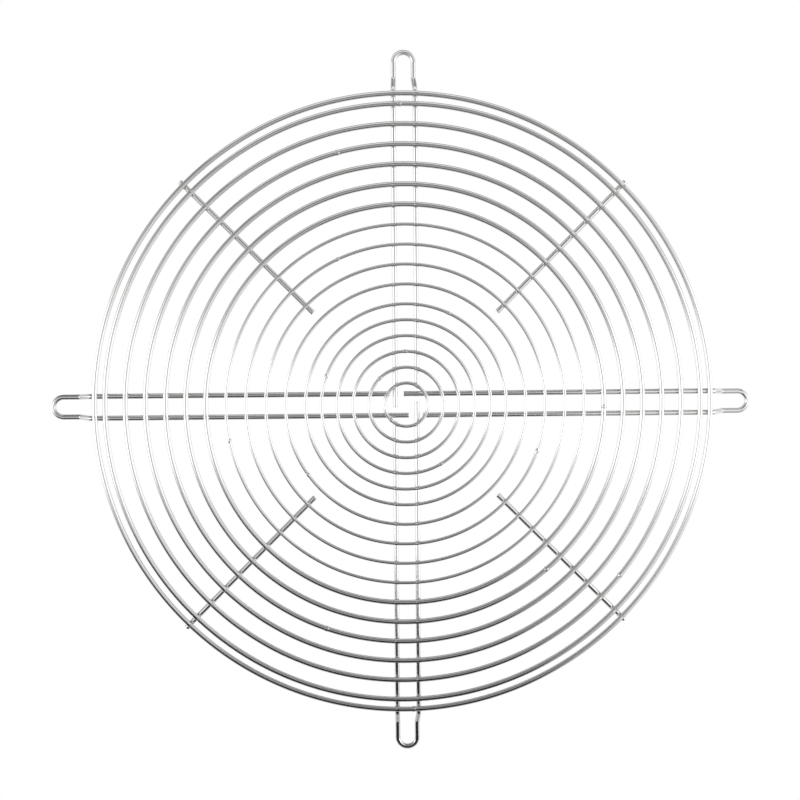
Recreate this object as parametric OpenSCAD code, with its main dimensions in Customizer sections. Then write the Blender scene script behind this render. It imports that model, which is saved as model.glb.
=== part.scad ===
// Wire finger guard for a round axial fan.
//
// Concentric rings are cross welded on top of four hairpin spokes and four diagonal
// stays. Outside the rim each hairpin steps down and turns round into a mounting loop.
// The four loops lie on z = 0, the face that the fan or panel has behind them, and the
// rings stand off from it towards +Z. The origin is in the middle of the mounting face.

/* [Rings] */
// Outside diameter over the rim ring
rim_od = 315; // [260:1:380]
// Diameter of the rim ring's wire
rim_wire = 2.7; // [2:0.1:3.2]
// Centreline radius of the innermost ring, the eye
eye_r = 11; // [9:0.5:14]
// Number of closely spaced rings in the middle
close_rings = 6; // [4:1:7]
// Spacing of the closely spaced rings
close_pitch = 8; // [6:0.5:9]
// Number of rings spread evenly from there to the rim
spread_rings = 10; // [8:1:12]
// Centreline distance from the outermost of them to the rim ring
rim_spacing = 5.15; // [4:0.05:8]
// Number of rings, counted from the middle, that are of the light wire
light_rings = 10; // [0:1:12]
// Diameter of the light ring wire
light_wire = 1.7; // [1.2:0.1:2]
// Diameter of the heavy ring wire
heavy_wire = 2.7; // [2:0.1:3.2]

/* [Hairpin spokes] */
// Diameter of the spoke wire
spoke_wire = 2.7; // [2:0.1:3.2]
// Clear gap between a spoke's two legs, under the rings
leg_gap = 8.3; // [7:0.1:11]
// How far the long leg runs past the middle of the guard
long_leg_past = 1.3; // [0.5:0.1:2]
// How far the short leg runs in past the eye's centreline
short_leg_past = 1; // [0.8:0.1:2]
// Least clear gap between a short leg's end and the long leg that passes it
leg_end_gap = 0.4; // [0.2:0.1:1]

/* [Mounting loops] */
// Clear width of the slot inside a loop
slot_w = 7.4; // [6:0.1:9.5]
// Clear length of the slot's flat part
slot_l = 11.2; // [8:0.1:20]
// How far the spokes step down to the loops
step_h = 6; // [4:0.5:12]
// Slope of the step
step_angle = 45; // [40:1:60]
// Radius of the step's bends, at the wire's centreline
step_bend_r = 2.5; // [2:0.1:3]

/* [Diagonal stays] */
// Diameter of the stay wire
stay_wire = 2.7; // [2:0.1:3.2]
// First ring that the stays cross, counted from the middle
stay_first_ring = 8; // [6:1:10]
// How far a stay runs in past that ring's centreline
stay_in_past = 5; // [2:0.5:6]
// How far a stay runs out past the rim
stay_out_past = 1.5; // [0.5:0.1:4]

/* [Welds] */
// How far the rings sink into the spokes and stays as they are welded
set_down = 0.3; // [0.1:0.05:0.5]
// How much thicker a ring is at its butt weld
butt_weld_rise = 0.3; // [0.1:0.05:0.6]
// Length of a ring's butt weld
butt_weld_l = 1.6; // [1:0.1:3]

/* [Hidden] */
$fn = 96;

ring_count = close_rings + spread_rings;
sides = ["east", "north", "west", "south"];
corners = ["north_east", "north_west", "south_west", "south_east"];
quarter = 90;
corner_turn = quarter / 2;

function ring_name(i) = str("ring_", i < 10 ? "0" : "", i);
function spoke_name(k) = str("spoke_", sides[k]);
function stay_name(k) = str("stay_", corners[k]);

// Ring centreline radii: the close rings, and then the rest in equal steps to the rim
rim_r = (rim_od - rim_wire) / 2;
last_close_r = eye_r + (close_rings - 1) * close_pitch;
spread_pitch = (rim_r - rim_spacing - last_close_r) / spread_rings;
function ring_r(i) = i <= close_rings
    ? eye_r + (i - 1) * close_pitch
    : last_close_r + (i - close_rings) * spread_pitch;
function ring_wire(i) = i <= light_rings ? light_wire : heavy_wire;

// Direction, round from +X, of each ring's butt weld, from the middle outwards. They
// are scattered round the guard, and each lies clear of the spokes and stays.
butt_weld_at = [225, 135, 91, 300, 160, 65, 215, 340, 115, 191, 359, 310, 250, 105, 321, 91];
rim_butt_weld_at = 271;

// Heights of the wires' centrelines. The spokes and stays are level on top, at seat_z.
loop_z = spoke_wire / 2;
spoke_z = loop_z + step_h;
seat_z = spoke_z + spoke_wire / 2;
stay_z = seat_z - stay_wire / 2;
function ring_z(wire) = seat_z + wire / 2 - set_down;

// The spokes' legs
leg_y = (leg_gap + spoke_wire) / 2;
step_x = rim_od / 2;
eye_crossing_x = sqrt(pow(eye_r, 2) - pow(leg_y, 2));
passing_leg_x = leg_y + spoke_wire / 2;
short_leg_x = max(eye_crossing_x - short_leg_past, passing_leg_x + leg_end_gap);

// The step goes down to the loop and a little inwards, because the loop is narrower
// than the legs. step_lean is how far that turns the step's plane off the vertical.
loop_y = (slot_w + spoke_wire) / 2;
step_fall = norm([step_h, leg_y - loop_y]);
step_lean = atan2(leg_y - loop_y, step_h);
step_slope_l = (step_fall - 2 * step_bend_r * (1 - cos(step_angle))) / sin(step_angle);
loop_leg_l = slot_l - slot_w / 2;

// The bending of one hairpin, from the inner end of the long leg to that of the short
// leg. Each step holds a straight feed, the side of the wire that the bend after it
// goes towards, the angle of the bend, and its radius. The last step is only a feed.
FEED = 0;
TOWARDS = 1;
BEND = 2;
BEND_R = 3;
hairpin_steps = [
    [step_x + long_leg_past, -step_lean, step_angle, step_bend_r],
    [step_slope_l, 180 - step_lean, step_angle, step_bend_r],
    [loop_leg_l, 270, 180, loop_y],
    [loop_leg_l, 180 - step_lean, step_angle, step_bend_r],
    [step_slope_l, -step_lean, step_angle, step_bend_r],
    [step_x - short_leg_x],
];

// Puts its children at the centre of a step's bend, which curves from -X up towards +Z
module at_bend_centre(step) {
    translate([0, 0, step[FEED]])
        rotate(step[TOWARDS])
            translate([step[BEND_R], 0, 0])
                children();
}

// Puts its children where a wire along +Z has got to after a number of its steps
module after_steps(steps, count) {
    if (count == 0)
        children();
    else
        after_steps(steps, count - 1)
            at_bend_centre(steps[count - 1])
                rotate([0, steps[count - 1][BEND], 0])
                    translate([-steps[count - 1][BEND_R], 0, 0])
                        rotate(-steps[count - 1][TOWARDS])
                            children();
}

// A bend of the wire. The start of its outline is on the same side as the straight
// wire's, so that their joins are one line along the wire.
module wire_bend(step, wire) {
    at_bend_centre(step)
        rotate([90, 0, 180])
            rotate_extrude(angle = step[BEND])
                translate([step[BEND_R], 0])
                    rotate(180 + step[TOWARDS])
                        circle(d = wire);
}

// One wire that starts at the origin along +Z and is bent step by step
module bent_wire(steps, wire) {
    last = len(steps) - 1;
    for (i = [0 : last])
        after_steps(steps, i) {
            cylinder(d = wire, h = steps[i][FEED]);
            if (i < last)
                wire_bend(steps[i], wire);
        }
}

// A straight wire along +X, from one distance out to another
module straight_wire(from_x, to_x, y, z, wire) {
    translate([from_x, y, z])
        rotate([0, 90, 0])
            cylinder(d = wire, h = to_x - from_x);
}

module stay_run() {
    inner_x = ring_r(stay_first_ring) - stay_in_past;
    outer_x = rim_od / 2 + stay_out_past;
    rotate(corner_turn)
        straight_wire(inner_x, outer_x, 0, stay_z, stay_wire);
}

// The straight runs of all the wires that the rings are welded to
module carrier_runs() {
    for (k = [0 : 3])
        rotate(quarter * k) {
            straight_wire(-long_leg_past, step_x, leg_y, spoke_z, spoke_wire);
            straight_wire(short_leg_x, step_x, -leg_y, spoke_z, spoke_wire);
            stay_run();
        }
}

// A closed ring: its butt weld stands a little proud, and it has a saddle pressed into
// its underside wherever it crosses a spoke or a stay. Its surface starts and ends
// midway between a spoke and a stay, clear of the saddles.
module welded_ring(path_r, wire, weld_at) {
    weld_span = butt_weld_l / path_r * 180 / PI;
    color("gainsboro")
        difference() {
            translate([0, 0, ring_z(wire)])
                union() {
                    rotate(corner_turn / 2)
                        rotate_extrude()
                            translate([path_r, 0])
                                circle(d = wire);
                    rotate(weld_at - weld_span / 2)
                        rotate_extrude(angle = weld_span)
                            translate([path_r, 0])
                                circle(d = wire + butt_weld_rise);
                }
            carrier_runs();
        }
}

module ring(i) {
    welded_ring(ring_r(i), ring_wire(i), butt_weld_at[(i - 1) % len(butt_weld_at)]);
}

module rim_ring() {
    welded_ring(rim_r, rim_wire, rim_butt_weld_at);
}

// Each spoke is one wire bent like a hairpin. Its long leg is on the side that follows
// anticlockwise, so that the four long legs swirl round the middle without meeting.
module spoke(k) {
    color("silver")
        rotate(quarter * k)
            translate([-long_leg_past, leg_y, spoke_z])
                rotate([0, 90, 0])
                    bent_wire(hairpin_steps, spoke_wire);
}

module stay(k) {
    color("silver")
        rotate(quarter * k)
            stay_run();
}

for (i = [1 : ring_count]) ring(i);
rim_ring();
for (k = [0 : 3]) spoke(k);
for (k = [0 : 3]) stay(k);
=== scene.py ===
"""Wire fan guard: bright plated steel wire, resistance welded, laid out over a white sheet.

Every length of wire is one closed tube in metres, in the CAD model's own frame.
"""

import bpy
import numpy as np
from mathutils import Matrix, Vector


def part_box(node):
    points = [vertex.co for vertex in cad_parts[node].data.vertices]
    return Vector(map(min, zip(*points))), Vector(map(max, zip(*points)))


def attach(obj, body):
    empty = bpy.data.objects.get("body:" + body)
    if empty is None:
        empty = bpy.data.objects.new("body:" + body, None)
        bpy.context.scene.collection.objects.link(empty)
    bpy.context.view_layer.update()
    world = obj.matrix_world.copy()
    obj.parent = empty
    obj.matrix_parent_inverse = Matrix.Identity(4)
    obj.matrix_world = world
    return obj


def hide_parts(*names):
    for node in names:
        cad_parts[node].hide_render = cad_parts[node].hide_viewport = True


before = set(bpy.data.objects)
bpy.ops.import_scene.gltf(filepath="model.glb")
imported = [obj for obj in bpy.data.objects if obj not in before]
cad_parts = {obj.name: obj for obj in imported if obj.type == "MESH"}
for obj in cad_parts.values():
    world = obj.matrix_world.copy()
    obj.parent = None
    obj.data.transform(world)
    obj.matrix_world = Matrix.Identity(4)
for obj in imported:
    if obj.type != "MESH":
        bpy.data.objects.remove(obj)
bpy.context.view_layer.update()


# ---------------------------------------------------------------------------
# Backdrop and camera. The guard is laid out well above a plain white sheet, so that
# it throws no shadow on it, and the camera looks down from a little left of its middle.
# ---------------------------------------------------------------------------

CAMERA_PLACE = (-0.03737, 0.03337, 0.643)
CAMERA_TURN = np.radians((-2.7724, -3.1040, -0.3924))
CAMERA_LENS = 56.436
CAMERA_CLIP = 0.01
SHEET_HALF = 0.5
SHEET_Z = -0.6
SHEET_TONE = 0.85
WHITE = (1, 1, 1, 1)


class Wired:
    """One socket of a node tree. Sums and products of sockets and numbers add Math nodes."""

    def __init__(self, tree, socket=None):
        self.tree = tree
        self.socket = socket

    def node(self, kind, settings=None, values=None, output=0):
        """A new node. Its settings are set first, then its inputs get values or links."""
        made = self.tree.nodes.new(kind)
        for name, value in (settings or {}).items():
            if name == "stops":
                for place, _ in value[2:]:
                    made.color_ramp.elements.new(place)
                for element, (place, shade) in zip(made.color_ramp.elements, value):
                    element.position = place
                    element.color = (shade, shade, shade, 1)
            else:
                setattr(made, name, value)
        for name, value in (values or {}).items():
            if isinstance(value, Wired):
                self.tree.links.new(value.socket, made.inputs[name])
            else:
                made.inputs[name].default_value = value
        return Wired(self.tree, made.outputs[output] if len(made.outputs) else None)

    def maths(self, operation, first, second):
        return self.node("ShaderNodeMath", {"operation": operation}, {0: first, 1: second})

    def __add__(self, other):
        return self.maths("ADD", self, other)

    def __sub__(self, other):
        return self.maths("SUBTRACT", self, other)

    def __rsub__(self, other):
        return self.maths("SUBTRACT", other, self)

    def __mul__(self, other):
        return self.maths("MULTIPLY", self, other)

    def __truediv__(self, other):
        return self.maths("DIVIDE", self, other)

    def __abs__(self):
        return self.node("ShaderNodeMath", {"operation": "ABSOLUTE"}, {0: self})

    def other(self, name):
        """Another output of the node that this socket belongs to."""
        return Wired(self.tree, self.socket.node.outputs[name])

    __radd__ = __add__


def new_material(name):
    """An empty material, and its tree to add nodes to."""
    material = bpy.data.materials.new(name)
    material.use_nodes = True
    material.node_tree.nodes.clear()
    return material, Wired(material.node_tree)


def white_backdrop(material, tree):
    """Matt white that shows as plain white behind the object and in its metal, and takes shadow."""
    ray = tree.node("ShaderNodeLightPath")
    sees_white = ray
    for name in ("Is Glossy Ray", "Is Transmission Ray"):
        sees_white = tree.maths("MAXIMUM", sees_white, ray.other(name))
    matt = tree.node("ShaderNodeBsdfDiffuse", values={"Color": (SHEET_TONE, SHEET_TONE, SHEET_TONE, 1)})
    glow = tree.node("ShaderNodeEmission", values={"Color": WHITE, "Strength": 1.0})
    mixed = tree.node("ShaderNodeMixShader", values={0: sees_white, 1: matt, 2: glow})
    tree.node("ShaderNodeOutputMaterial", values={"Surface": mixed})
    return material


sheet_corners = [(x * SHEET_HALF, y * SHEET_HALF, SHEET_Z) for x, y in ((-1, -1), (1, -1), (1, 1), (-1, 1))]
sheet_mesh = bpy.data.meshes.new("white_sheet")
sheet_mesh.from_pydata(sheet_corners, [], [(0, 1, 2, 3)])
sheet_mesh.materials.append(white_backdrop(*new_material("matt_white_sheet")))
sheet = bpy.data.objects.new("white_sheet", sheet_mesh)
bpy.context.scene.collection.objects.link(sheet)

lens = bpy.data.cameras.new("camera")
lens.lens = CAMERA_LENS
lens.clip_start = CAMERA_CLIP
camera = bpy.data.objects.new("camera", lens)
camera.location = CAMERA_PLACE
camera.rotation_euler = CAMERA_TURN
bpy.context.scene.collection.objects.link(camera)
bpy.context.scene.camera = camera


# ---------------------------------------------------------------------------
# Light. A soft box stands on the left and on the right, in front of white side walls.
# Between them the room is grey, with a dark card over the front edge, a lit one behind,
# and a lit panel that hangs over the right end.
# ---------------------------------------------------------------------------

BOX_PLACE_X = 1.25
BOX_PLACE_Z = 0.85
BOX_SIDE = 0.9
BOX_RADIANCE = 1.03
ROOM_GREY = 0.31
FRONT_LIGHTER = 0.15
LOW_LIGHTER = 0.33
WALL_WHITE = 1.14
WALL_NARROWEST = 0.05
WALL_SPREAD = 0.5
KEEP_FINITE = 0.001
LEAN_RATE = 0.6
LEAN_MOST = 0.08
WALL_STOPS = [(0.1, 0.0), (0.16, 0.1), (0.3, 0.3), (0.5, 0.42), (0.75, 0.6), (1.0, 1.0)]
SCREEN_WHITE = 0.66
SCREEN_FRONT = (0.95, 0.1)
SCREEN_BACK = (1.8, 0.05)
SCREEN_EDGE = 0.16
SCREEN_STOPS = [(0.05, 0.0), (0.2, 1.0)]
GAP_STOPS = [(0.08, 0.0), (0.17, 1.0)]


def soft_box(name, place, side, radiance):
    """A square screen facing the guard. Power is pi x area x radiance: radiance 1 mirrors as white."""
    light = bpy.data.lights.new(name, "AREA")
    light.shape = "RECTANGLE"
    light.size = light.size_y = side
    light.energy = np.pi * side**2 * radiance
    box = bpy.data.objects.new(name, light)
    box.location = place
    towards = -np.array(place) / np.linalg.norm(place)
    box.rotation_euler = (np.arccos(-towards[2]), 0, np.arctan2(towards[1], towards[0]) - np.pi / 2)
    bpy.context.scene.collection.objects.link(box)


def studio_walls(tree):
    """The room's radiance by direction (x, y, z).

    Grey is ROOM_GREY - FRONT_LIGHTER y + LOW_LIGHTER max(0, -z). The walls' white comes in with
    (WALL_NARROWEST + WALL_SPREAD x^2 + lean) / |y|, so that each wall is narrow overhead and wide low down.
    The lean, LEAN_RATE max(0, -y) up to LEAN_MOST, takes it a little further to the front. A screen widens
    the right wall: it lies between y = -a x - b with SCREEN_FRONT's a and b, and y = a x^2 + b with
    SCREEN_BACK's. The gap is a band round x = 0 that stays grey, which the camera looks through.
    """
    way = tree.node("ShaderNodeTexCoord").other("Generated")
    x = tree.node("ShaderNodeSeparateXYZ", values={0: way})
    y, z = x.other("Y"), x.other("Z")
    lean = tree.maths("MINIMUM", tree.maths("MAXIMUM", y * -LEAN_RATE, 0.0), LEAN_MOST)
    width = (x * x * WALL_SPREAD + WALL_NARROWEST + lean) / (abs(y) + KEEP_FINITE)
    wall = tree.node("ShaderNodeValToRGB", {"stops": WALL_STOPS}, {0: width * 0.5})
    front_side = x * SCREEN_FRONT[0] + y + SCREEN_FRONT[1]
    back_side = x * x * SCREEN_BACK[0] - y + SCREEN_BACK[1]
    inside = tree.maths("MINIMUM", front_side, back_side)
    screen_stops = [(0.0, 0.0), (SCREEN_EDGE, SCREEN_WHITE)]
    screen = tree.node("ShaderNodeValToRGB", {"stops": screen_stops}, {0: inside})
    right = tree.node("ShaderNodeValToRGB", {"stops": SCREEN_STOPS}, {0: x})
    gap = tree.node("ShaderNodeValToRGB", {"stops": GAP_STOPS}, {0: abs(x)})
    low = tree.maths("MAXIMUM", z * -1, 0.0)
    grey = ROOM_GREY - y * FRONT_LIGHTER + low * LOW_LIGHTER
    return grey + (WALL_WHITE - grey) * tree.maths("MAXIMUM", wall, screen * right) * gap


def studio_card(name, corners, shader, settings):
    """A four-cornered card that the metal mirrors and the camera doesn't see."""
    mesh = bpy.data.meshes.new(name)
    mesh.from_pydata(corners, [], [(0, 1, 2, 3)])
    material, tree = new_material(name)
    tree.node("ShaderNodeOutputMaterial", values={"Surface": tree.node(shader, values=settings)})
    mesh.materials.append(material)
    card = bpy.data.objects.new(name, mesh)
    card.visible_camera = False
    bpy.context.scene.collection.objects.link(card)


soft_box("left_box", (-BOX_PLACE_X, 0.0, BOX_PLACE_Z), BOX_SIDE, BOX_RADIANCE)
soft_box("right_box", (BOX_PLACE_X, 0.0, BOX_PLACE_Z), BOX_SIDE, BOX_RADIANCE)

DARK_CARD = [(-0.40, -0.24, 0.03), (0.12, -0.26, 0.03), (0.14, -0.17, 0.22), (-0.40, -0.14, 0.22)]
LIT_CARD = [(-0.20, 0.26, 0.0), (0.34, 0.26, 0.0), (0.34, 0.26, 0.15), (-0.20, 0.26, 0.15)]
RIGHT_PANEL = [(0.155, -0.14, 0.36), (0.32, -0.36, 0.34), (0.32, 0.32, 0.34), (0.155, 0.10, 0.36)]
studio_card("dark_card", DARK_CARD, "ShaderNodeBsdfDiffuse", {"Color": (0.04, 0.04, 0.04, 1)})
studio_card("lit_card", LIT_CARD, "ShaderNodeEmission", {"Color": WHITE, "Strength": 0.95})
studio_card("right_panel", RIGHT_PANEL, "ShaderNodeEmission", {"Color": WHITE, "Strength": 1.0})

world = bpy.data.worlds.new("room")
world.use_nodes = True
world.node_tree.nodes.clear()
room = Wired(world.node_tree)
seen = room.node("ShaderNodeLightPath")
walls = room.node("ShaderNodeBackground", values={"Color": WHITE, "Strength": studio_walls(room)})
plain = room.node("ShaderNodeBackground", values={"Color": WHITE, "Strength": 1.0})
around = room.node("ShaderNodeMixShader", values={0: seen, 1: walls, 2: plain})
room.node("ShaderNodeOutputWorld", values={"Surface": around})
bpy.context.scene.world = world
bpy.context.scene.view_settings.view_transform = "Standard"


# ---------------------------------------------------------------------------
# Hairpin spokes. Each is one length of hard drawn steel wire, bent like a hairpin: two
# legs under the rings, a step down outside the rim, and a loop that is screwed down.
# ---------------------------------------------------------------------------

SIDES = ("east", "north", "west", "south")

stay_low, stay_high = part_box("stay_north_east")
east_low, east_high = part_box("spoke_east")
rim_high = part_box("rim_ring")[1]

CARRIER_R = (stay_high.z - stay_low.z) / 2
LEG_Y = east_high.y - CARRIER_R
LEG_Z = east_high.z - CARRIER_R
LONG_LEG_X = east_low.x
SHORT_LEG_X = 0.008526
LOOP_TIP_X = east_high.x - CARRIER_R
LOOP_Y = 0.00505
LOOP_Z = east_low.z + CARRIER_R
STEP_X = rim_high.y
STEP_BEND_R = 0.0025
STEP_ANGLE = np.radians(45)
LEG_SPACING = 0.0012
LOOP_SPACING = 0.0006
STEP_BEND_ROWS = 9
LOOP_BEND_ROWS = 20
END_CHAMFER = 0.00022
END_ROWS = np.array([0, 0.12, 0.35, 0.65, 1.0]) * END_CHAMFER
END_CLEAR = 1.5 * END_CHAMFER
AROUND = 20


def turned_about_z(points, c, s):
    """Points turned about Z by the angle with that cosine and sine: x' = c x - s y, y' = s x + c y."""
    return points @ np.array([[c, s, 0], [-s, c, 0], [0, 0, 1.0]])


def straight_run(start, end, spacing):
    """Points spaced evenly on the line from start towards end, without the end itself."""
    start, end = np.array(start, float), np.array(end, float)
    count = max(2, int(np.linalg.norm(end - start) / spacing))
    return start + (end - start) * np.linspace(0, 1, count, endpoint=False)[:, None]


def bend_run(centre, from_arm, to_arm, angle, count):
    """Points of a bend: centre + from_arm cos t + to_arm sin t, for t from 0 up to the angle."""
    t = np.linspace(0, angle, count, endpoint=False)[:, None]
    return np.array(centre) + np.array(from_arm) * np.cos(t) + np.array(to_arm) * np.sin(t)


def hairpin_path():
    """The centreline of a hairpin along +X: long leg, step, half the loop, and back mirrored.

    The step lies in a plane through the leg's line and the loop leg's line. In it, out is +X and down is
    the unit vector from the first line to the second. The first bend is centre - r (down cos t - out sin t),
    and the second turns back by the same angle.
    """
    drop = np.array([0, LOOP_Y - LEG_Y, LOOP_Z - LEG_Z])
    fall = np.linalg.norm(drop)
    down, out, r = drop / fall, np.array([1.0, 0, 0]), STEP_BEND_R
    c, s = np.cos(STEP_ANGLE), np.sin(STEP_ANGLE)
    slope_length = (fall - 2 * r * (1 - c)) / s
    leg_end = np.array([STEP_X, LEG_Y, LEG_Z])
    slope_start = leg_end + r * (out * s + down * (1 - c))
    slope_end = slope_start + slope_length * (out * c + down * s)
    flat_start = slope_end + r * (out * s + down * (1 - c))
    loop_centre = np.array([LOOP_TIP_X - LOOP_Y, 0, LOOP_Z])
    second_from = down * r * c - out * r * s
    second_to = down * r * s + out * r * c
    half = np.concatenate([
        straight_run([LONG_LEG_X, LEG_Y, LEG_Z], leg_end, LEG_SPACING),
        bend_run(leg_end + down * r, -down * r, out * r, STEP_ANGLE, STEP_BEND_ROWS),
        straight_run(slope_start, slope_end, LOOP_SPACING),
        bend_run(flat_start - down * r, second_from, second_to, STEP_ANGLE, STEP_BEND_ROWS),
        straight_run(flat_start, loop_centre + [0, LOOP_Y, 0], LOOP_SPACING),
        bend_run(loop_centre, [0, LOOP_Y, 0], [LOOP_Y, 0, 0], np.pi / 2, LOOP_BEND_ROWS),
    ])
    back = (half * [1, -1, 1])[::-1]
    back = back[back[:, 0] > SHORT_LEG_X + LOOP_SPACING]
    return np.concatenate([half, [[LOOP_TIP_X, 0, LOOP_Z]], back, [[SHORT_LEG_X, -LEG_Y, LEG_Z]]])


def sheared_ends(path, radius):
    """A path with rows added at its ends, its radii there and its lengths along.

    The ends are as cropping shears leave them: flat, with an edge rounded as radius - END_CHAMFER
    (1 - sqrt(1 - (1 - t)^2)), t going from 0 at the end to 1 one chamfer further in.
    """
    steps = np.linalg.norm(np.diff(path, axis=0), axis=1)
    along = np.concatenate([[0], np.cumsum(steps)])
    length = along[-1]
    inner = along[(along > END_CLEAR) & (along < length - END_CLEAR)]
    places = np.sort(np.concatenate([END_ROWS, length - END_ROWS, inner]))
    points = np.stack([np.interp(places, along, path[:, k]) for k in range(3)], 1)
    from_end = np.clip(np.minimum(places, length - places) / END_CHAMFER, 0, 1)
    radii = radius - END_CHAMFER * (1 - np.sqrt(1 - (1 - from_end) ** 2))
    return points, radii, places


def path_frame(points):
    """Two unit vectors across a path that never runs upright: side is tangent x up, top is side x tangent."""
    tangent = np.gradient(points, axis=0)
    tangent /= np.linalg.norm(tangent, axis=1)[:, None]
    side = np.cross(tangent, [0, 0, 1.0])
    side /= np.linalg.norm(side, axis=1)[:, None]
    return side, np.cross(side, tangent)


def round_the_wire():
    """The angles v of a tube's AROUND points, once round the wire in equal steps."""
    return np.arange(AROUND) / AROUND * 2 * np.pi


def tube_grid(path):
    """A wire's grid along an open path, and its rows' lengths along.

    Its points are centre + radius (side cos v + top sin v), with v the angle round the wire.
    """
    centres, radii, along = sheared_ends(path, CARRIER_R)
    sides, tops = path_frame(centres)
    v = round_the_wire()
    rim = sides[:, None] * np.cos(v)[None, :, None] + tops[:, None] * np.sin(v)[None, :, None]
    return centres[:, None] + rim * radii[:, None, None], along


def wire_mesh(name, grids, alongs, closed, weld_marks):
    """One mesh of the grids of one or more tubes, with a UV map in metres along and turns round the wire.

    Row i joins row i + 1 by quads, a closed tube's last row joins its first, and an open tube's ends are
    fans round their middle points. Looking ahead along the rows, each row runs counter-clockwise, so that
    the faces point outwards. The attribute weld is 1 where the metal was melted and 0 elsewhere.
    """
    verts, faces, uvs, marks, base = [], [], [], [], 0
    for grid, along, mark in zip(grids, alongs, weld_marks):
        rows, around = grid.shape[:2]
        spans = rows if closed else rows - 1
        i, j = np.indices((spans, around)).reshape(2, -1)
        ahead, beside = (i + 1) % rows, (j + 1) % around
        row, next_row = i * around, ahead * around
        quads = np.stack([row + j, next_row + j, next_row + beside, row + beside], 1)
        lengths = np.append(along, along[-1] + (along[1] - along[0]))
        u0, u1 = lengths[i], lengths[i + 1]
        v0, v1 = j / around, (j + 1) / around
        verts.append(grid.reshape(-1, 3))
        marks.append(mark.ravel())
        faces += (quads + base).tolist()
        uvs.append(np.stack([u0, v0, u1, v0, u1, v1, u0, v1], 1).reshape(-1, 2))
        base += rows * around
        if not closed:
            verts.append(grid[[0, -1]].mean(1))
            marks.append(np.zeros(2))
            k = np.arange(around)
            k_next = (k + 1) % around
            start, last = base - rows * around, base - around
            faces += np.stack([np.full(around, base), start + k, start + k_next], 1).tolist()
            faces += np.stack([np.full(around, base + 1), last + k_next, last + k], 1).tolist()
            uvs.append(np.zeros((6 * around, 2)))
            base += 2
    mesh = bpy.data.meshes.new(name)
    mesh.from_pydata(np.concatenate(verts).tolist(), [], faces)
    layer = mesh.uv_layers.new(name="along_and_round")
    layer.data.foreach_set("uv", np.concatenate(uvs).astype(np.float32).ravel())
    melted = mesh.attributes.new("weld", "FLOAT", "POINT")
    melted.data.foreach_set("value", np.concatenate(marks).astype(np.float32))
    mesh.polygons.foreach_set("use_smooth", np.ones(len(mesh.polygons), bool))
    mesh.update()
    return mesh


def place_wire(mesh, material, slot, *nodes):
    """Puts a finished wire in the scene: it rides on the guard's one body and stands for its CAD node."""
    mesh.materials.append(material)
    wire = bpy.data.objects.new(mesh.name, mesh)
    bpy.context.scene.collection.objects.link(wire)
    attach(wire, "root")
    if nodes:
        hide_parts(*nodes)
    return wire


DIE_LINES = (60, 26, 1)
CLOUD_SCALE = 60.0
SPECK_SCALE = 1400.0
PLATING_BRIGHT = (1, 0.997, 0.99)
PLATING_DARK = (0.93, 0.925, 0.92)
PLATING_BURNT = (0.5, 0.49, 0.48)
BURNT_SHARE = 0.25
CLOUD_ROUGHENS = 0.06
SPECKS_ROUGHEN = 0.04
WELD_ROUGHENS = 0.12
DIE_LINE_DEPTH = 0.00002
SPECK_DEPTH_SHARE = 0.4
RELIEF_STRENGTH = 0.35


def plated_wire(name, tone, gloss, drawn_depth):
    """Bright plating on drawn wire: die lines run along it, and it is a little dull where it was welded."""
    material, tree = new_material(name)
    place = tree.node("ShaderNodeTexCoord", output="Object")
    wound = tree.node("ShaderNodeUVMap", {"uv_map": "along_and_round"})
    lines = tree.node("ShaderNodeMapping", values={"Vector": wound, "Scale": DIE_LINES})
    die_lines = tree.node("ShaderNodeTexNoise", {"noise_dimensions": "2D"},
                          {"Vector": lines, "Scale": 1.0, "Detail": 3.0, "Roughness": 0.6})
    cloud = tree.node("ShaderNodeTexNoise", values={
        "Vector": place, "Scale": CLOUD_SCALE, "Detail": 3.0, "Roughness": 0.55})
    specks = tree.node("ShaderNodeTexNoise", values={
        "Vector": place, "Scale": SPECK_SCALE, "Detail": 2.0, "Roughness": 0.6})
    melted = tree.node("ShaderNodeAttribute", {"attribute_name": "weld"}, output="Fac")
    bright, dark, burnt = (
        tuple(np.multiply(colour, tone)) + (1,) for colour in (PLATING_BRIGHT, PLATING_DARK, PLATING_BURNT))
    mix_colours = {"data_type": "RGBA"}
    plating = tree.node("ShaderNodeMix", mix_colours, {0: cloud, 6: dark, 7: bright}, output=2)
    burnt_share = melted * BURNT_SHARE
    colour = tree.node("ShaderNodeMix", mix_colours, {0: burnt_share, 6: plating, 7: burnt}, output=2)
    roughness = gloss + cloud * CLOUD_ROUGHENS + specks * SPECKS_ROUGHEN + melted * WELD_ROUGHENS
    relief = tree.node("ShaderNodeBump", values={
        "Strength": RELIEF_STRENGTH,
        "Distance": DIE_LINE_DEPTH * drawn_depth,
        "Height": die_lines + specks * SPECK_DEPTH_SHARE})
    steel = tree.node("ShaderNodeBsdfPrincipled", values={
        "Base Color": colour, "Metallic": 1.0, "Roughness": roughness, "Normal": relief})
    tree.node("ShaderNodeOutputMaterial", values={"Surface": steel})
    return material


spoke_finish = plated_wire("plated_spoke_wire", tone=0.80, gloss=0.13, drawn_depth=1.0)
hairpin_grid, along = tube_grid(hairpin_path())
for count, name in enumerate(SIDES):
    c, s = np.round([np.cos(count * np.pi / 2), np.sin(count * np.pi / 2)])
    turned = turned_about_z(hairpin_grid, c, s)
    mesh = wire_mesh(f"hairpin_{name}", [turned], [along], False, [np.zeros(turned.shape[:2])])
    place_wire(mesh, spoke_finish, "spoke_wire", f"spoke_{name}")


# ---------------------------------------------------------------------------
# Diagonal stays. Four straight lengths of the same wire stiffen the outer rings
# between the spokes. They are cropped square and stick out a little past the rim.
# ---------------------------------------------------------------------------

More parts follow.
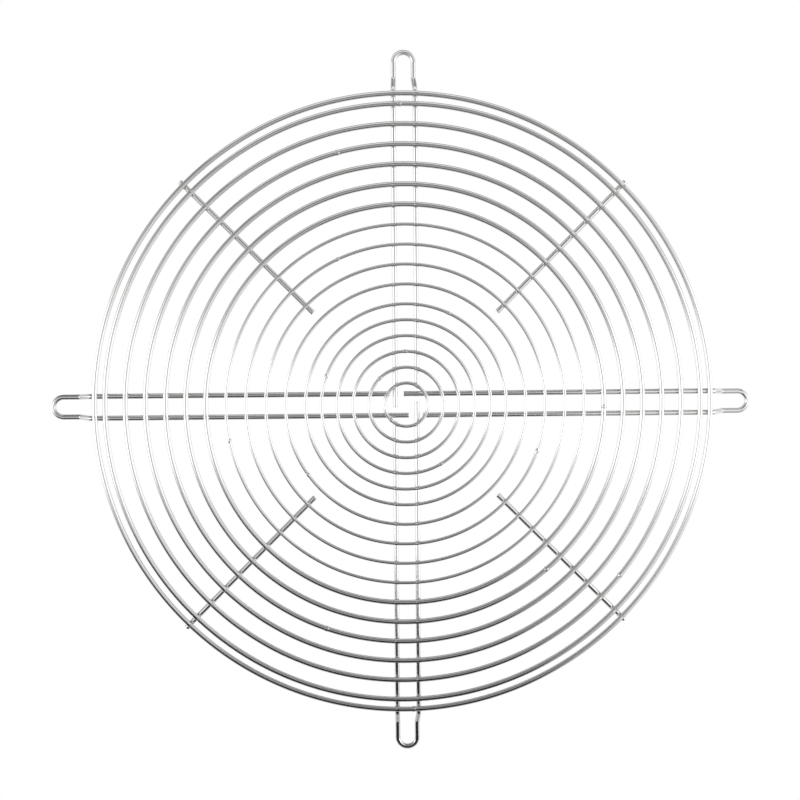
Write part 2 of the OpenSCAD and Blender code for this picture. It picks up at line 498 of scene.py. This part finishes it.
STAY_CORNERS = ("north_east", "north_west", "south_west", "south_east")
STAY_IN = 0.066
STAY_PAST_RIM = 0.0015
STAY_OUT = STEP_X + STAY_PAST_RIM

stay_finish = plated_wire("plated_stay_wire", tone=0.80, gloss=0.14, drawn_depth=1.1)
stay_end = [STAY_OUT, 0, LEG_Z]
stay_line = np.concatenate([straight_run([STAY_IN, 0, LEG_Z], stay_end, LEG_SPACING), [stay_end]])
stay_grid, along = tube_grid(stay_line)
for count, name in enumerate(STAY_CORNERS):
    turn = np.pi / 4 + count * np.pi / 2
    turned = turned_about_z(stay_grid, np.cos(turn), np.sin(turn))
    mesh = wire_mesh(f"stay_bar_{name}", [turned], [along], False, [np.zeros(turned.shape[:2])])
    place_wire(mesh, stay_finish, "stay_wire", f"stay_{name}")


# ---------------------------------------------------------------------------
# Rings. Each is straightened wire bent round and butt welded to itself, and then
# cross welded on the spokes and stays, which presses a saddle into its underside.
# ---------------------------------------------------------------------------

LIGHT_WIRE_R = 0.00085
HEAVY_WIRE_R = 0.00135
SET_DOWN = 0.0003
SEAT_Z = LEG_Z + CARRIER_R
RING_NAMES = [f"ring_{i:02d}" for i in range(1, 17)] + ["rim_ring"]
EYE_R = 0.011
CLOSE_PITCH = 0.008
SPREAD_PITCH = 0.010
CLOSE_RINGS = EYE_R + CLOSE_PITCH * np.arange(6)
SPREAD_RINGS = CLOSE_RINGS[-1] + SPREAD_PITCH * np.arange(1, 11)
RING_RADII = np.concatenate([CLOSE_RINGS, SPREAD_RINGS, [STEP_X - HEAVY_WIRE_R]])
RING_WIRES = [LIGHT_WIRE_R] * 10 + [HEAVY_WIRE_R] * 7
ROW_SPACING = 0.002
FEWEST_ROWS = 64
WELD_ROWS = 13
WELD_REACH = 0.0018
CLOSEST_ROWS = 0.00006
BUTT_WELD_AT = (225, 135, 91, 300, 160, 65, 215, 340, 115, 191, 359, 310, 250, 105, 321, 91, 271)
BUTT_WELD_RISE = 0.00015
BUTT_WELD_HALF = 0.0008
BUTT_WELD_ROUGH = 0.15
BUTT_WELD_DULL = 0.8
ELECTRODE_FLAT = 0.00009
ELECTRODE_HALF = 0.0011
PRESSED_FROM_TO = (0.5, 1.3)
FLAT_SPREAD = 0.5
WELD_SEED = 7


def crossing_angles(ring_r):
    """The directions in which a ring crosses the legs, either side of each quarter turn, and the stays."""
    half = np.arcsin(LEG_Y / ring_r)
    quarters = np.arange(4) * np.pi / 2
    found = np.concatenate([quarters + half, quarters - half])
    if ring_r > STAY_IN:
        found = np.concatenate([found, quarters + np.pi / 4])
    return np.sort(found % (2 * np.pi))


def turn_from(angles, centre):
    """The signed angle from centre to each of the angles, between minus and plus half a turn."""
    return (angles - centre + np.pi) % (2 * np.pi) - np.pi


def ring_angles(ring_r, crossings, weld_at):
    """Directions round a ring: even steps of about 2 mm, and finer ones close to each weld."""
    rows = max(FEWEST_ROWS, int(2 * np.pi * ring_r / ROW_SPACING))
    even = np.linspace(0, 2 * np.pi, rows, endpoint=False)
    near = np.linspace(-1, 1, WELD_ROWS) * WELD_REACH / ring_r
    fine = (np.append(crossings, weld_at)[:, None] + near).ravel()
    places = np.unique(np.round(np.concatenate([even, fine]) % (2 * np.pi), 9))
    keep = np.append(True, np.diff(places) > CLOSEST_ROWS / ring_r)
    return places[keep]


def bump(distance, half):
    """A smooth hump: 1 at no distance, falling as exp(-(distance / half)^4)."""
    return np.exp(-(distance / half) ** 4)


def ring_grid(ring_r, wire_r, crossings, weld_at, rng):
    """A ring's points, their rows' lengths along and the weld marks.

    The torus is R = ring_r + w cos v, z = axis + w sin v, with w the wire's radius. It swells at the butt
    weld. On top, each cross weld has a flat where the electrode pressed, which spreads the wire a little.
    Below, a point that would lie in a leg or stay is raised to its surface, z = LEG_Z +
    sqrt(CARRIER_R^2 - off^2).
    """
    angles = ring_angles(ring_r, crossings, weld_at)
    v = round_the_wire()
    axis_z = SEAT_Z + wire_r - SET_DOWN
    weld_mark = bump(turn_from(angles, weld_at) * ring_r, BUTT_WELD_HALF)
    rough = 1 + BUTT_WELD_ROUGH * rng.uniform(-1, 1, (len(angles), AROUND))
    w = wire_r + BUTT_WELD_RISE * weld_mark[:, None] * rough
    flats = np.zeros(len(angles))
    for crossing in crossings:
        depth = ELECTRODE_FLAT * rng.uniform(*PRESSED_FROM_TO)
        flats = np.maximum(flats, depth * bump(turn_from(angles, crossing) * ring_r, ELECTRODE_HALF))
    outwards = np.cos(v)[None] * w * (1 + FLAT_SPREAD * (flats / wire_r)[:, None])
    highest = wire_r - flats + BUTT_WELD_RISE * weld_mark
    upwards = np.minimum(np.sin(v)[None] * w, highest[:, None])
    x = (ring_r + outwards) * np.cos(angles)[:, None]
    y = (ring_r + outwards) * np.sin(angles)[:, None]
    z = axis_z + upwards
    for turn in np.arange(8) * np.pi / 4:
        c, s = np.cos(turn), np.sin(turn)
        off = -x * s + y * c
        ahead = x * c + y * s > 0
        if np.isclose(turn % (np.pi / 2), 0):
            off = np.abs(off) - LEG_Y
        elif ring_r < STAY_IN:
            continue
        under = ahead & (np.abs(off) < CARRIER_R)
        surface = LEG_Z + np.sqrt(np.clip(CARRIER_R**2 - off**2, 0, None))
        z = np.where(under, np.maximum(z, surface), z)
    mark = np.repeat(weld_mark[:, None], AROUND, 1) * BUTT_WELD_DULL
    return np.stack([x, y, z], -1), angles * ring_r, mark


ring_finish = plated_wire("plated_ring_wire", tone=0.82, gloss=0.12, drawn_depth=0.9)
rng = np.random.default_rng(WELD_SEED)
ring_crossings = [crossing_angles(ring_r) for ring_r in RING_RADII]
rings = list(zip(RING_NAMES, RING_RADII, RING_WIRES, ring_crossings))
for (name, ring_r, wire_r, crossings), weld_at in zip(rings, np.radians(BUTT_WELD_AT)):
    grid, along, mark = ring_grid(ring_r, wire_r, crossings, weld_at, rng)
    mesh = wire_mesh(f"welded_{name}", [grid], [along], True, [mark])
    place_wire(mesh, ring_finish, "ring_wire", name)


# ---------------------------------------------------------------------------
# Squeezed metal of the cross welds. Where a ring was pressed hot into a spoke or
# a stay, steel was squeezed out and set as a small web in the corners between them.
# ---------------------------------------------------------------------------

BEAD_ROUND = 12
BEAD_RISE = 5
BEAD_POLE = 0.18
BEAD_REACH = 1.05
BEAD_LOBES = 0.22
BEAD_HALF_HEIGHT = 0.00042
BEAD_ALONG = 0.001
BEAD_SMALLEST_LARGEST = (0.85, 1.15)


def bead_grids(ring_r, wire_r, crossings, rng):
    """Four-cornered lenses, one for each crossing.

    In plan the edge is at BEAD_REACH - BEAD_LOBES cos 4a of the wires' radii, so that it shows between the
    wires and not on them. In height it is BEAD_HALF_HEIGHT cos b, b going nearly from pole to pole.
    """
    a = np.arange(BEAD_ROUND) / BEAD_ROUND * 2 * np.pi
    b = np.linspace(BEAD_POLE, np.pi - BEAD_POLE, BEAD_RISE)
    lobes = BEAD_REACH - BEAD_LOBES * np.cos(4 * a)
    grids = []
    for crossing in crossings:
        size = rng.uniform(*BEAD_SMALLEST_LARGEST)
        reach = np.sin(b)[:, None] * lobes[None] * size
        outwards = reach * np.cos(a) * wire_r
        sideways = reach * np.sin(a) * CARRIER_R
        height = SEAT_Z - SET_DOWN / 2 + BEAD_HALF_HEIGHT * size * np.cos(b)[:, None] * np.ones(BEAD_ROUND)
        place = ring_r * np.array([np.cos(crossing), np.sin(crossing)])
        turn = np.round(crossing / (np.pi / 4)) * np.pi / 4
        c, s = np.cos(turn), np.sin(turn)
        x = place[0] + outwards * c - sideways * s
        y = place[1] + outwards * s + sideways * c
        grids.append(np.stack([x, y, height], -1))
    return grids


bead_finish = plated_wire("weld_bead", tone=0.55, gloss=0.3, drawn_depth=2.0)
for name, ring_r, wire_r, crossings in rings:
    grids = bead_grids(ring_r, wire_r, crossings, rng)
    alongs = [np.linspace(0, BEAD_ALONG, BEAD_RISE)] * len(grids)
    mesh = wire_mesh(f"beads_{name}", grids, alongs, False, [np.ones(g.shape[:2]) for g in grids])
    place_wire(mesh, bead_finish, "ring_wire")
